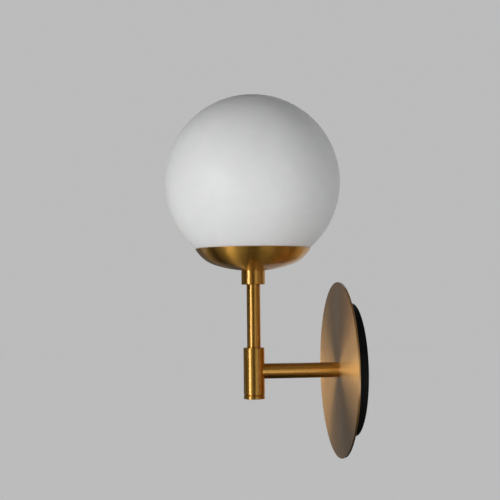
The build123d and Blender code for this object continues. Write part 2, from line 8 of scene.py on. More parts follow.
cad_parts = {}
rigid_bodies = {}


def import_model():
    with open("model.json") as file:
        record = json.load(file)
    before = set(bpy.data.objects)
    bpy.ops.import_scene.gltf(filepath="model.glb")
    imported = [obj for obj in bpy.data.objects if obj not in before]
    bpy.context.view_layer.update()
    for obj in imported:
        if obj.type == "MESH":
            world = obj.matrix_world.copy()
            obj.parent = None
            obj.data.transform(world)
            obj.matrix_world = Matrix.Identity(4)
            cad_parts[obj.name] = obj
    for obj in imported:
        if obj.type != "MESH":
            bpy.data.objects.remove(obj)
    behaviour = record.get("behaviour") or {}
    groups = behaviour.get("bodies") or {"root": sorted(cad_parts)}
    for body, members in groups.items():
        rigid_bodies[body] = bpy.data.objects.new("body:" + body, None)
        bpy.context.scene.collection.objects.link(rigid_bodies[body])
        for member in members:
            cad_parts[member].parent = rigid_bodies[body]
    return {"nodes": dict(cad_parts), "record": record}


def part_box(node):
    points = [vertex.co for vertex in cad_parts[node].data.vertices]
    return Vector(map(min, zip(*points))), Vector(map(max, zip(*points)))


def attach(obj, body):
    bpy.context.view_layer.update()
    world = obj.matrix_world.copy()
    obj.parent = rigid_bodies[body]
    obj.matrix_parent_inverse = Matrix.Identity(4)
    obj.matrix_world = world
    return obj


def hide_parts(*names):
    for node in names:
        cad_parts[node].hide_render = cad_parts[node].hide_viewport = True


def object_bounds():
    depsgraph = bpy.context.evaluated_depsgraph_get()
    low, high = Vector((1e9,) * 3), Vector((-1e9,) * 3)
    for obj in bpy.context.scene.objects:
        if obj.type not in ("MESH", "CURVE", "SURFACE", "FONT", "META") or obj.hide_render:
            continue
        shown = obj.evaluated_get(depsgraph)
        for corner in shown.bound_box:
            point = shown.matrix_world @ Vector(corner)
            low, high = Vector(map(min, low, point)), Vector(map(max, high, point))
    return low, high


# The looks of a globe wall sconce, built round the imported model. Metres, +z up, the wall at y = 0.
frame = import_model()
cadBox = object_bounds()
nodes = frame["nodes"]
print("frame loaded:", len(nodes), "nodes")

stemAxisY = sum(corner.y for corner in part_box("stem")) / 2  # the stem's axis stands here, at x = 0
stemCentre = (0.0, stemAxisY, 0.0)
armCentre = (0.0, 0.0, 0.0)  # the arm's axis runs along y through the origin


# camera, where the photograph was taken from
camera = {
    "place": (0.9339, -0.2214, 0.0598),
    "azimuth": 81.907,
    "elevation": -2.654,
    "roll": -0.572,
    "lens": 79.34,
    "sensor": 36.0,
    "nearest": 0.01,
}


def makeCamera():
    data = bpy.data.cameras.new("photoCamera")
    data.lens = camera["lens"]
    data.sensor_width = camera["sensor"]
    data.clip_start = camera["nearest"]
    cameraObject = bpy.data.objects.new("photoCamera", data)
    turn = Matrix.Rotation(math.radians(camera["azimuth"]), 4, "Z")
    tip = Matrix.Rotation(math.radians(90 - camera["elevation"]), 4, "X")
    roll = Matrix.Rotation(math.radians(camera["roll"]), 4, "Z")
    cameraObject.matrix_world = Matrix.Translation(camera["place"]) @ turn @ tip @ roll
    bpy.context.scene.collection.objects.link(cameraObject)
    bpy.context.scene.camera = cameraObject


makeCamera()
print("camera placed")


# node trees: an input takes another node's output, a plain value or a colour of three numbers
def connect(tree, value, socket):
    if isinstance(value, bpy.types.NodeSocket):
        tree.links.new(value, socket)
    elif socket.type == "RGBA":
        socket.default_value = (*value, 1.0)
    else:
        socket.default_value = value


def addNode(tree, kind, inputs=None, **settings):
    node = tree.nodes.new(kind)
    for name, value in settings.items():
        setattr(node, name, value)
    for name, value in (inputs or {}).items():
        connect(tree, value, node.inputs[name])
    return node


def calc(tree, operation, first, second=0.0):
    return addNode(tree, "ShaderNodeMath", {0: first, 1: second}, operation=operation).outputs[0]


def vectorCalc(tree, operation, first, second):
    return addNode(tree, "ShaderNodeVectorMath", {0: first, 1: second}, operation=operation).outputs[0]


def remap(tree, value, low, high, newLow=0.0, newHigh=1.0):
    inputs = {"Value": value, "From Min": low, "From Max": high, "To Min": newLow, "To Max": newHigh}
    return addNode(tree, "ShaderNodeMapRange", inputs).outputs[0]


def blendColour(tree, share, first, second):
    return addNode(tree, "ShaderNodeMix", {0: share, 6: first, 7: second}, data_type="RGBA").outputs[2]


def noise(tree, vector, scale, detail, roughness):
    inputs = {"Vector": vector, "Scale": scale, "Detail": detail, "Roughness": roughness}
    return addNode(tree, "ShaderNodeTexNoise", inputs, noise_dimensions="3D").outputs[0]


def newGroup(name, inputs, outputs):
    group = bpy.data.node_groups.new(name, "ShaderNodeTree")

    def addSocket(label, side, kind="NodeSocketFloat"):
        return group.interface.new_socket(name=label, in_out=side, socket_type=kind)

    addSocket("Vector", "INPUT", "NodeSocketVector")
    for label, value in inputs.items():
        addSocket(label, "INPUT").default_value = value
    for label in outputs:
        addSocket(label, "OUTPUT")
    given = group.nodes.new("NodeGroupInput").outputs
    return group, given, group.nodes.new("NodeGroupOutput").inputs


def useGroup(tree, group, inputs):
    node = tree.nodes.new("ShaderNodeGroup")
    node.node_tree = group
    for name, value in inputs.items():
        connect(tree, value, node.inputs[name])
    return node.outputs


# marks that a lathe or a brush leaves round the z axis of its vector
latheMarks = {
    "linesPerMetre": 3000.0,
    "turn": 0.6,  # how much a line changes on its way round
    "lines": {"Fine": (1.0, 3.0), "Broad": (0.16, 2.0)},  # share of the lines per metre, detail
    "lineRoughness": 0.6,
    "patches": (55.0, 3.0, 0.55),  # scale, detail, roughness
}


def makeLatheGroup():
    group, given, result = newGroup(
        "latheMarks",
        {"Lines per metre": latheMarks["linesPerMetre"], "Turn": latheMarks["turn"]},
        ["Fine", "Broad", "Patches"],
    )
    x, y, z = addNode(group, "ShaderNodeSeparateXYZ", {0: given["Vector"]}).outputs
    squares = calc(group, "ADD", calc(group, "MULTIPLY", x, x), calc(group, "MULTIPLY", y, y))
    across = calc(group, "ADD", calc(group, "SQRT", squares), z)
    angle = calc(group, "ARCTAN2", y, x)
    sine = calc(group, "MULTIPLY", calc(group, "SINE", angle), given["Turn"])
    cosine = calc(group, "MULTIPLY", calc(group, "COSINE", angle), given["Turn"])
    for label, (share, detail) in latheMarks["lines"].items():
        density = calc(group, "MULTIPLY", given["Lines per metre"], share)
        lines = calc(group, "MULTIPLY", across, density)
        vector = addNode(group, "ShaderNodeCombineXYZ", {0: lines, 1: sine, 2: cosine}).outputs[0]
        connect(group, noise(group, vector, 1.0, detail, latheMarks["lineRoughness"]), result[label])
    connect(group, noise(group, given["Vector"], *latheMarks["patches"]), result["Patches"])
    return group


# worn high edges, from how far the surface turns out at each point
edgeWear = {
    "start": 0.52,  # pointiness where the wear begins and where it is full
    "end": 0.6,
    "breaks": (900.0, 3.0, 0.6),  # scale, detail, roughness
    "breakRange": (0.35, 0.6),
}


def makeEdgeGroup():
    group, given, result = newGroup(
        "edgeWear", {"Start": edgeWear["start"], "End": edgeWear["end"]}, ["Wear"]
    )
    pointiness = addNode(group, "ShaderNodeNewGeometry").outputs["Pointiness"]
    raised = remap(group, pointiness, given["Start"], given["End"])
    broken = remap(group, noise(group, given["Vector"], *edgeWear["breaks"]), *edgeWear["breakRange"])
    connect(group, calc(group, "MULTIPLY", raised, broken), result["Wear"])
    return group


# fine speckle and soft smears, for paint, plastic, ceramic, glass and plated steel
surfaceMarks = {
    "grainPerMetre": 2500.0,
    "grain": (2.0, 0.5),  # detail, roughness
    "smears": (70.0, 4.0, 0.6),  # scale, detail, roughness
    "speckRange": (0.12, 0.05),  # a speck fades out and is full this far from its cell's middle
}


def makeSurfaceGroup():
    group, given, result = newGroup(
        "surfaceMarks",
        {"Grain per metre": surfaceMarks["grainPerMetre"]},
        ["Grain", "Smears", "Specks"],
    )
    vector, density = given["Vector"], given["Grain per metre"]
    connect(group, noise(group, vector, density, *surfaceMarks["grain"]), result["Grain"])
    connect(group, noise(group, vector, *surfaceMarks["smears"]), result["Smears"])
    cells = addNode(group, "ShaderNodeTexVoronoi", {"Vector": vector, "Scale": density}, feature="F1")
    connect(group, remap(group, cells.outputs[0], *surfaceMarks["speckRange"]), result["Specks"])
    return group


latheGroup = makeLatheGroup()
edgeGroup = makeEdgeGroup()
surfaceGroup = makeSurfaceGroup()
print("shader groups made")


# materials
noiseRange = (0.3, 0.7)  # nearly all values of a noise lie between these


def newMaterial(name):
    material = bpy.data.materials.new(name)
    material.use_nodes = True
    tree = material.node_tree
    return material, tree, tree.nodes["Principled BSDF"].inputs


def objectPoint(tree, centre=(0.0, 0.0, 0.0)):
    point = addNode(tree, "ShaderNodeTexCoord").outputs["Object"]
    return vectorCalc(tree, "SUBTRACT", point, centre)


def setRoughness(tree, shader, mask, ends):
    connect(tree, remap(tree, mask, *noiseRange, *ends), shader["Roughness"])


def setRelief(tree, shader, height, strength, distance):
    inputs = {"Height": height, "Strength": strength, "Distance": distance}
    connect(tree, addNode(tree, "ShaderNodeBump", inputs).outputs[0], shader["Normal"])


def setSockets(shader, values):
    for name, value in values.items():
        shader[name].default_value = value


brass = {
    "bright": (0.78, 0.42, 0.08),
    "aged": (0.68, 0.335, 0.055),
    "dark": (0.42, 0.18, 0.028),
    "patches": (0.3, 0.75, 0.0, 0.5),  # range of the marks, and of the aged tone that they bring
    "streaks": (0.45, 0.8, 0.0, 0.2),  # the same for the dark tone
    "wear": 0.6,
    "linesPerMetre": 5200.0,
    "relief": (0.05, 0.00002),  # strength, distance
    "roughness": (0.39, 0.45),
    "anisotropy": 0.95,
    "anisotropicTurn": 0.25,
    "coat": 0.45,
    "coatRoughness": 0.1,
}
turnedAlong = {
    "z": {"axis": (0.0, 0.0, 1.0), "toZ": (0.0, 0.0, 0.0)},
    "y": {"axis": (0.0, 1.0, 0.0), "toZ": (math.radians(90), 0.0, 0.0)},
}


def makeBrass(name, centre, along, changes=None):
    look, direction = {**brass, **(changes or {})}, turnedAlong[along]
    material, tree, shader = newMaterial(name)
    offset = objectPoint(tree, centre)
    upright = addNode(tree, "ShaderNodeMapping", {"Vector": offset, "Rotation": direction["toZ"]})
    point = upright.outputs[0]
    marks = useGroup(tree, latheGroup, {"Vector": point, "Lines per metre": look["linesPerMetre"]})
    wear = useGroup(tree, edgeGroup, {"Vector": point})["Wear"]
    patches = remap(tree, marks["Patches"], *look["patches"])
    base = blendColour(tree, patches, look["bright"], look["aged"])
    base = blendColour(tree, remap(tree, marks["Broad"], *look["streaks"]), base, look["dark"])
    base = blendColour(tree, calc(tree, "MULTIPLY", wear, look["wear"]), base, look["bright"])
    connect(tree, base, shader["Base Color"])
    setRoughness(tree, shader, marks["Fine"], look["roughness"])
    setRelief(tree, shader, marks["Fine"], *look["relief"])
    connect(tree, vectorCalc(tree, "CROSS_PRODUCT", offset, direction["axis"]), shader["Tangent"])
    setSockets(shader, {
        "Metallic": 1.0,
        "Anisotropic": look["anisotropy"],
        "Anisotropic Rotation": look["anisotropicTurn"],
        "Coat Weight": look["coat"],
        "Coat Roughness": look["coatRoughness"],
    })
    return material


# glass of the globe and cover of the lamp: a clouded white with a fine grain
opal = {
    "white": (0.83, 0.83, 0.82),
    "cloud": (0.80, 0.80, 0.795),
    "grain": 1800.0,
    "roughness": (0.42, 0.5),
    "relief": (0.05, 0.00002),
    "sockets": {
        "Subsurface Weight": 0.35, "Subsurface Radius": (0.012, 0.011, 0.010), "Subsurface Scale": 1.0,
    },
}
frosted = {
    "white": (0.86, 0.86, 0.84),
    "cloud": (0.80, 0.80, 0.78),
    "grain": 2000.0,
    "roughness": (0.35, 0.5),
    "relief": (0.1, 0.00003),
    "sockets": {"Transmission Weight": 0.35},
}


def makeClouded(name, look, centre=(0.0, 0.0, 0.0)):
    material, tree, shader = newMaterial(name)
    point = objectPoint(tree, centre)
    marks = useGroup(tree, surfaceGroup, {"Vector": point, "Grain per metre": look["grain"]})
    clouds = remap(tree, marks["Smears"], *noiseRange)
    connect(tree, blendColour(tree, clouds, look["white"], look["cloud"]), shader["Base Color"])
    setRoughness(tree, shader, marks["Grain"], look["roughness"])
    setRelief(tree, shader, marks["Grain"], *look["relief"])
    setSockets(shader, look["sockets"])
    return material


# paint, plastic, ceramic and plated steel share one recipe with their own values
finishMarks = {"smears": (0.35, 0.7), "reliefDistance": 0.00005, "shine": 0.5}


def makeFinish(name, look):
    material, tree, shader = newMaterial(name)
    point = objectPoint(tree)
    marks = useGroup(tree, surfaceGroup, {"Vector": point, "Grain per metre": look["grain"]})
    wear = useGroup(tree, edgeGroup, {"Vector": point})["Wear"]
    smears = remap(tree, marks["Smears"], *finishMarks["smears"])
    base = blendColour(tree, smears, look["colour"], look["second"])
    specks = calc(tree, "MULTIPLY", marks["Specks"], look["specks"])
    base = blendColour(tree, specks, base, look["speck"])
    base = blendColour(tree, calc(tree, "MULTIPLY", wear, look["wear"]), base, look["worn"])
    connect(tree, base, shader["Base Color"])
    setRoughness(tree, shader, marks["Smears"], look["roughness"])
    setRelief(tree, shader, marks["Grain"], look["relief"], finishMarks["reliefDistance"])
    setSockets(shader, {
        "Metallic": look["metallic"],
        "Specular IOR Level": look.get("shine", finishMarks["shine"]),
    })
    return material


finishes = {
    "zinc_steel": {
        "colour": (0.60, 0.61, 0.62), "second": (0.44, 0.45, 0.45), "speck": (0.75, 0.75, 0.72),
        "worn": (0.8, 0.8, 0.8), "specks": 0.3, "wear": 0.5, "roughness": (0.24, 0.42),
        "grain": 1500.0, "relief": 0.15, "metallic": 1.0,
    },
    "spring_steel": {
        "colour": (0.55, 0.55, 0.54), "second": (0.42, 0.41, 0.40), "speck": (0.3, 0.29, 0.28),
        "worn": (0.8, 0.8, 0.8), "specks": 0.06, "wear": 0.3, "roughness": (0.3, 0.42),
        "grain": 2200.0, "relief": 0.05, "metallic": 1.0,
    },
    "plain_brass": {
        "colour": (0.74, 0.55, 0.26), "second": (0.60, 0.42, 0.17), "speck": (0.35, 0.2, 0.08),
        "worn": (0.85, 0.7, 0.4), "specks": 0.2, "wear": 0.5, "roughness": (0.2, 0.35),
        "grain": 2200.0, "relief": 0.08, "metallic": 1.0,
    },
    # near-black, darker than paint alone: partly the pan's own black paint, partly painted shade
    # standing in for the deep shadow behind the disc
    "black_paint": {
        "colour": (0.004, 0.004, 0.004), "second": (0.006, 0.006, 0.006), "speck": (0.02, 0.02, 0.02),
        "worn": (0.05, 0.05, 0.05), "specks": 0.4, "wear": 0.3, "roughness": (0.5, 0.65),
        "grain": 2600.0, "relief": 0.5, "metallic": 0.0, "shine": 0.12,
    },
    "ceramic_white": {
        "colour": (0.78, 0.76, 0.71), "second": (0.72, 0.69, 0.63), "speck": (0.45, 0.40, 0.33),
        "worn": (0.82, 0.8, 0.76), "specks": 0.25, "wear": 0.3, "roughness": (0.35, 0.6),
        "grain": 1900.0, "relief": 0.2, "metallic": 0.0,
    },
    "soft_ring": {
        "colour": (0.62, 0.62, 0.60), "second": (0.55, 0.55, 0.53), "speck": (0.4, 0.4, 0.38),
        "worn": (0.68, 0.68, 0.66), "specks": 0.2, "wear": 0.2, "roughness": (0.6, 0.8),
        "grain": 1800.0, "relief": 0.2, "metallic": 0.0,
    },
    "led_board": {
        "colour": (0.78, 0.77, 0.70), "second": (0.72, 0.71, 0.64), "speck": (0.85, 0.65, 0.15),
        "worn": (0.85, 0.8, 0.5), "specks": 0.1, "wear": 0.2, "roughness": (0.4, 0.55),
        "grain": 1800.0, "relief": 0.1, "metallic": 0.0,
    },
    "block_plastic": {
        "colour": (0.74, 0.73, 0.68), "second": (0.69, 0.68, 0.62), "speck": (0.6, 0.58, 0.5),
        "worn": (0.8, 0.79, 0.75), "specks": 0.2, "wear": 0.3, "roughness": (0.45, 0.6),
        "grain": 2400.0, "relief": 0.25, "metallic": 0.0,
    },
    "black_plastic": {
        "colour": (0.02, 0.02, 0.02), "second": (0.03, 0.03, 0.03), "speck": (0.05, 0.05, 0.05),
        "worn": (0.1, 0.1, 0.1), "specks": 0.3, "wear": 0.3, "roughness": (0.45, 0.6),
        "grain": 2400.0, "relief": 0.2, "metallic": 0.0,
    },
    "green_screw": {
        "colour": (0.05, 0.28, 0.09), "second": (0.07, 0.34, 0.12), "speck": (0.3, 0.5, 0.3),
        "worn": (0.45, 0.5, 0.45), "specks": 0.2, "wear": 0.7, "roughness": (0.25, 0.4),
        "grain": 2200.0, "relief": 0.1, "metallic": 0.8,
    },
    "wire_black": {
        "colour": (0.025, 0.025, 0.027), "second": (0.035, 0.035, 0.037), "speck": (0.06, 0.06, 0.06),
        "worn": (0.08, 0.08, 0.08), "specks": 0.2, "wear": 0.2, "roughness": (0.4, 0.55),
        "grain": 2600.0, "relief": 0.2, "metallic": 0.0,
    },
    "wire_white": {
        "colour": (0.74, 0.74, 0.73), "second": (0.68, 0.68, 0.66), "speck": (0.5, 0.5, 0.48),
        "worn": (0.8, 0.8, 0.8), "specks": 0.2, "wear": 0.2, "roughness": (0.4, 0.55),
        "grain": 2600.0, "relief": 0.2, "metallic": 0.0,
    },
    "wire_green": {
        "colour": (0.06, 0.32, 0.11), "second": (0.05, 0.26, 0.09), "speck": (0.1, 0.4, 0.15),
        "worn": (0.2, 0.45, 0.2), "specks": 0.2, "wear": 0.2, "roughness": (0.4, 0.55),
        "grain": 2600.0, "relief": 0.2, "metallic": 0.0,
    },
}
discLook = {
    "bright": (0.80, 0.47, 0.17), "aged": (0.70, 0.38, 0.13), "roughness": (0.55, 0.62), "coat": 1.0,
}
bowlLook = {"roughness": (0.38, 0.46)}

slotMaterials = {slot: makeFinish(slot.replace("_", ""), look) for slot, look in finishes.items()}
slotMaterials["opal_glass"] = makeClouded("satinOpal", opal, stemCentre)
slotMaterials["frosted_cover"] = makeClouded("frostedCover", frosted)
stemBrass = makeBrass("brassStem", stemCentre, "z")
armBrass = makeBrass("brassArm", armCentre, "y")
discBrass = makeBrass("brassDisc", armCentre, "y", discLook)
bowlBrass = makeBrass("brassBowl", stemCentre, "z", bowlLook)
slotMaterials["brushed_brass"] = stemBrass
print("materials made:", len(bpy.data.materials))


# turned pieces: a profile of radius and height, drawn with a pen and spun
spinning = {"joinWithin": 1e-7, "onAxis": 1e-6, "bevelSegments": 3, "sharpest": 28.0}


def startProfile(radius, height):
    mesh = bmesh.new()
    return mesh, mesh.verts.new((radius, 0.0, height))


def lineTo(mesh, vert, radius, height):
    made = bmesh.ops.extrude_vert_indiv(mesh, verts=[vert])["verts"][0]
    made.co = (radius, 0.0, height)
    return made


def arcTo(mesh, vert, centre, degrees, steps):
    made = bmesh.ops.spin(
        mesh, geom=[vert], cent=(centre[0], 0.0, centre[1]), axis=(0, -1, 0),
        angle=math.radians(degrees), steps=steps, use_merge=False, use_duplicate=False,
    )
    return next(item for item in made["geom_last"] if isinstance(item, bmesh.types.BMVert))


def closeProfile(mesh, last):
    mesh.verts.ensure_lookup_table()
    mesh.edges.new((last, mesh.verts[0]))


def spinProfile(mesh, steps):
    everything = list(mesh.verts) + list(mesh.edges)
    bmesh.ops.spin(
        mesh, geom=everything, cent=(0, 0, 0), axis=(0, 0, 1), angle=2 * math.pi, steps=steps,
        use_merge=True, use_duplicate=False,
    )
    bmesh.ops.remove_doubles(mesh, verts=mesh.verts, dist=spinning["joinWithin"])
    bmesh.ops.recalc_face_normals(mesh, faces=mesh.faces)


def bevelSharp(mesh, width, sharpest=spinning["sharpest"]):
    sharp = [
        edge for edge in mesh.edges
        if len(edge.link_faces) == 2 and edge.calc_face_angle(0.0) > math.radians(sharpest)
    ]
    bmesh.ops.bevel(
        mesh, geom=sharp, offset=width, affect="EDGES", segments=spinning["bevelSegments"],
        profile=0.5, material=-1, clamp_overlap=True,
    )


def placeRound(mesh, along):
    if along == "z":
        bmesh.ops.translate(mesh, vec=stemCentre, verts=mesh.verts)
    else:  # out of the wall: the profile's height runs along -y
        outOfWall = Matrix.Rotation(math.radians(90), 3, "X")
        bmesh.ops.rotate(mesh, cent=(0, 0, 0), matrix=outOfWall, verts=mesh.verts)


def meshObject(name, mesh):
    data = bpy.data.meshes.new(name)
    mesh.to_mesh(data)
    mesh.free()
    made = bpy.data.objects.new(name, data)
    bpy.context.scene.collection.objects.link(made)
    return made


def evenNormals(piece):
    even = piece.modifiers.new("evenNormals", "WEIGHTED_NORMAL")
    even.keep_sharp = True
    even.weight = 100


def finishPiece(mesh, name, material, body, replaced):
    for face in mesh.faces:
        face.smooth = True
    piece = meshObject(name, mesh)
    piece.data.materials.append(material)
    evenNormals(piece)
    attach(piece, body)
    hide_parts(*replaced)


# radius and two ends of a round node, upright or out of the wall
def sizeOf(node, along="z"):
    low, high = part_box(node)
    radius = (high.x - low.x) / 2
    return (radius, low.z, high.z) if along == "z" else (radius, -high.y, -low.y)


# opal globe: a hollow ball, ground flat round its opening
globe = {"wall": 0.003, "steps": 160, "arcSteps": 80, "edge": 0.0004, "sharpest": 40.0}


def makeGlobe():
    radius, low, high = sizeOf("globe")
    centre = high - radius
    inner = radius - globe["wall"]
    sunk = centre - low
    groundRadius = math.sqrt(radius**2 - sunk**2)
    outerTurn = 90 + math.degrees(math.asin(sunk / radius))
    innerTurn = 90 + math.degrees(math.asin(sunk / inner))
    mesh, pen = startProfile(groundRadius, low)
    pen = arcTo(mesh, pen, (0.0, centre), outerTurn, globe["arcSteps"])
    pen = lineTo(mesh, pen, 0.0, centre + inner)
    pen = arcTo(mesh, pen, (0.0, centre), -innerTurn, globe["arcSteps"])
    closeProfile(mesh, pen)
    # the stretch between the poles isn't a wall
    for edge in list(mesh.edges):
        if all(abs(vert.co.x) < spinning["onAxis"] for vert in edge.verts):
            mesh.edges.remove(edge)
    spinProfile(mesh, globe["steps"])
    bevelSharp(mesh, globe["edge"], globe["sharpest"])
    placeRound(mesh, "z")
    finishPiece(mesh, "opalGlobe", slotMaterials["opal_glass"], "globe", ["globe"])


# sizes that the turned pieces share: lamp thread, its play, and the way for the wires
lampThread = {"radius": 0.005, "play": 0.00005, "bore": 0.0035}
threadHole = lampThread["radius"] + lampThread["play"]

# spun bowl: a flat seat, a crown arc and a shoulder arc up to the rim
bowl = {
    "crown": 0.1053,
    "shoulder": 0.0304,
    "rimSlope": 29.7,
    "wall": 0.001,
    "seat": 0.01015,
    "rimLand": 0.0005,
    "lip": (0.0004, 0.0006),  # how far in and down the rim's inner edge lies
    "lipTurn": 1.0,
    "crownSteps": 12,
    "shoulderSteps": 18,
    "steps": 160,
    "edge": 0.00015,
    "sharpest": 40.0,
}


def makeBowl():
    rim, low, high = sizeOf("fitter_bowl")
    crown, shoulder, wall, seat = (bowl[key] for key in ("crown", "shoulder", "wall", "seat"))
    slope = math.radians(bowl["rimSlope"])
    out = rim - shoulder * math.cos(slope)
    meetAngle = math.asin(out / (crown - shoulder))
    seatAngle = math.asin(seat / crown)
    rimAngle = math.pi / 2 - slope
    crownCentre = (0.0, low + math.sqrt(crown**2 - seat**2))
    shoulderCentre = (out, crownCentre[1] - (crown - shoulder) * math.cos(meetAngle))
    crownTurn = math.degrees(meetAngle - seatAngle)
    shoulderTurn = math.degrees(rimAngle - meetAngle)
    lipRadius = out + (shoulder - wall) * math.sin(rimAngle) - bowl["lip"][0]
    lipHeight = shoulderCentre[1] - (shoulder - wall) * math.cos(rimAngle) - bowl["lip"][1]
    mesh, pen = startProfile(threadHole, low)
    pen = lineTo(mesh, pen, seat, low)
    pen = arcTo(mesh, pen, crownCentre, crownTurn, bowl["crownSteps"])
    pen = arcTo(mesh, pen, shoulderCentre, shoulderTurn, bowl["shoulderSteps"])
    pen = lineTo(mesh, pen, rim - bowl["rimLand"], high)
    pen = lineTo(mesh, pen, lipRadius, lipHeight)
    pen = arcTo(mesh, pen, shoulderCentre, bowl["lipTurn"] - shoulderTurn, bowl["shoulderSteps"])
    pen = arcTo(mesh, pen, crownCentre, -crownTurn, bowl["crownSteps"])
    pen = lineTo(mesh, pen, seat, low + wall)
    pen = lineTo(mesh, pen, threadHole, low + wall)
    closeProfile(mesh, pen)
    spinProfile(mesh, bowl["steps"])
    bevelSharp(mesh, bowl["edge"], bowl["sharpest"])
    placeRound(mesh, "z")
    finishPiece(mesh, "spunBowl", bowlBrass, "root", ["fitter_bowl"])


# collar, stem, hub and end cap
turned = {
    "stemRadius": 0.005825,
    "hubChamber": 0.0065,
    "chamberRoof": 0.009,
    "grooveHeight": 0.0007,
    "grooveDepth": 0.0008,
    "capThread": 0.005,
    "capWall": 0.0015,
    "capEdge": 0.0006,
    "edge": 0.0003,
    "steps": 96,
}


def turnedPiece(
    outline, name, node, edge=turned["edge"], steps=turned["steps"], material=stemBrass, along="z",
):
    mesh, pen = startProfile(*outline[0])
    for radius, height in outline[1:]:
        pen = lineTo(mesh, pen, radius, height)
    if outline[0][0] > 0:  # a solid piece has no wall along its axis
        closeProfile(mesh, pen)
    spinProfile(mesh, steps)
    bevelSharp(mesh, edge)
    placeRound(mesh, along)
    finishPiece(mesh, name, material, "root", [node])


def makeTurned():
    thread, bore = lampThread["radius"], lampThread["bore"]
    collar, stemTop, collarTop = sizeOf("fitter_collar")
    stem, (stemLow, stemHigh) = turned["stemRadius"], sizeOf("stem")[1:]
    hub, hubLow, hubTop = sizeOf("hub")
    chamber, roof = turned["hubChamber"], turned["chamberRoof"]
    turnedPiece([
        (threadHole, stemTop), (collar, stemTop), (collar, collarTop), (threadHole, collarTop),
    ], "turnedCollar", "fitter_collar")
    turnedPiece([
        (bore, stemLow), (thread, stemLow), (thread, hubTop), (stem, hubTop),
        (stem, stemTop), (thread, stemTop), (thread, stemHigh), (bore, stemHigh),
    ], "stemTube", "stem")
    turnedPiece([
        (chamber, hubLow), (hub, hubLow), (hub, hubTop),
        (threadHole, hubTop), (threadHole, roof), (chamber, roof),
    ], "hubBody", "hub")
    capLow = sizeOf("hub_end_cap")[1]
    grooveLow = hubLow - turned["grooveHeight"]
    neck = hub - turned["grooveDepth"]
    screwed = chamber - lampThread["play"]
    hollow = screwed - turned["capWall"]
    screwedTop = hubLow + turned["capThread"]
    turnedPiece([
        (0.0, capLow), (hub, capLow), (hub, grooveLow), (neck, grooveLow), (neck, hubLow),
        (screwed, hubLow), (screwed, screwedTop), (hollow, screwedTop), (hollow, hubLow), (0.0, hubLow),
    ], "hubCap", "hub_end_cap", turned["capEdge"])


# arm: a tube whose end is cut to sit round the hub
arm = {"cutterHeight": 0.04}


# cut away what lies within a radius of the stem's axis
def copeMesh(mesh, radius):
    cutter = bmesh.new()
    bmesh.ops.create_cone(
        cutter, cap_ends=True, segments=turned["steps"], radius1=radius, radius2=radius,
        depth=arm["cutterHeight"],
    )
    bmesh.ops.translate(cutter, vec=stemCentre, verts=cutter.verts)
    blank, cylinder = meshObject("blank", mesh), meshObject("cutter", cutter)
    cut = blank.modifiers.new("cope", "BOOLEAN")
    cut.operation, cut.object, cut.solver = "DIFFERENCE", cylinder, "EXACT"
    evaluated = blank.evaluated_get(bpy.context.evaluated_depsgraph_get())
    made = bpy.data.meshes.new_from_object(evaluated)
    coped = bmesh.new()
    coped.from_mesh(made)
    for spare in (made, blank.data, cylinder.data):  # their objects go with them
        bpy.data.meshes.remove(spare)
    return coped


def makeArm():
    radius, wallEnd = sizeOf("arm", "y")[:2]
    mesh, pen = startProfile(threadHole, wallEnd)
    for place in ((radius, wallEnd), (radius, -stemAxisY), (threadHole, -stemAxisY)):
        pen = lineTo(mesh, pen, *place)
    closeProfile(mesh, pen)
    spinProfile(mesh, turned["steps"])
    placeRound(mesh, "y")
    mesh = copeMesh(mesh, sizeOf("hub")[0])
    finishPiece(mesh, "armTube", armBrass, "root", ["arm"])


# round disc on the wall side of the arm
disc = {"steps": 192, "edge": 0.0002}


def makeDisc():
    radius, back, front = sizeOf("backplate", "y")
    outline = [(threadHole, back), (radius, back), (radius, front), (threadHole, front)]
    turnedPiece(outline, "wallDisc", "backplate", disc["edge"], disc["steps"], discBrass, "y")


makeGlobe()
makeBowl()
makeTurned()
makeArm()
makeDisc()
print("turned pieces made")


# the other CAD nodes keep their meshes, take the finish of their slot and lose their knife edges
brokenEdges = {"weld": 0.000001, "width": 0.0001, "angle": 38.0, "segments": 2}


def breakEdges(node):
    weld = node.modifiers.new("joinCorners", "WELD")
    weld.merge_threshold = brokenEdges["weld"]
    bevel = node.modifiers.new("brokenEdges", "BEVEL")
    bevel.width = brokenEdges["width"]
    bevel.segments = brokenEdges["segments"]
    bevel.limit_method = "ANGLE"
    bevel.angle_limit = math.radians(brokenEdges["angle"])
    bevel.use_clamp_overlap = True
    evenNormals(node)


def dressNodes():
    slots = {entry["node"]: entry["material_slot"] for entry in frame["record"]["subparts"]}
    for name, node in nodes.items():
        if node.hide_render:  # replaced above
            continue
        node.data.materials.clear()
        node.data.materials.append(slotMaterials[slots[name]])
        breakEdges(node)


dressNodes()
print("nodes dressed")


# stage: dark cards, floor, world and lamps
stage = {
    "floorDrop": 1.3,
    "floorSize": 60.0,
    "floorColour": 0.8,
    "floorRoughness": 0.9,
    "pale": 0.5,
    "fill": 0.1,
    "cards": 0.02,
}


def grey(value):
    return (value, value, value)


# pale to the camera and in reflections, and low where it lights the object
def paleShade(tree, low):
    path = addNode(tree, "ShaderNodeLightPath").outputs
    seen = calc(tree, "MAXIMUM", path["Is Camera Ray"], path["Is Glossy Ray"])
    seen = calc(tree, "MAXIMUM", seen, path["Is Transmission Ray"])
    return remap(tree, seen, 0.0, 1.0, low, stage["pale"])


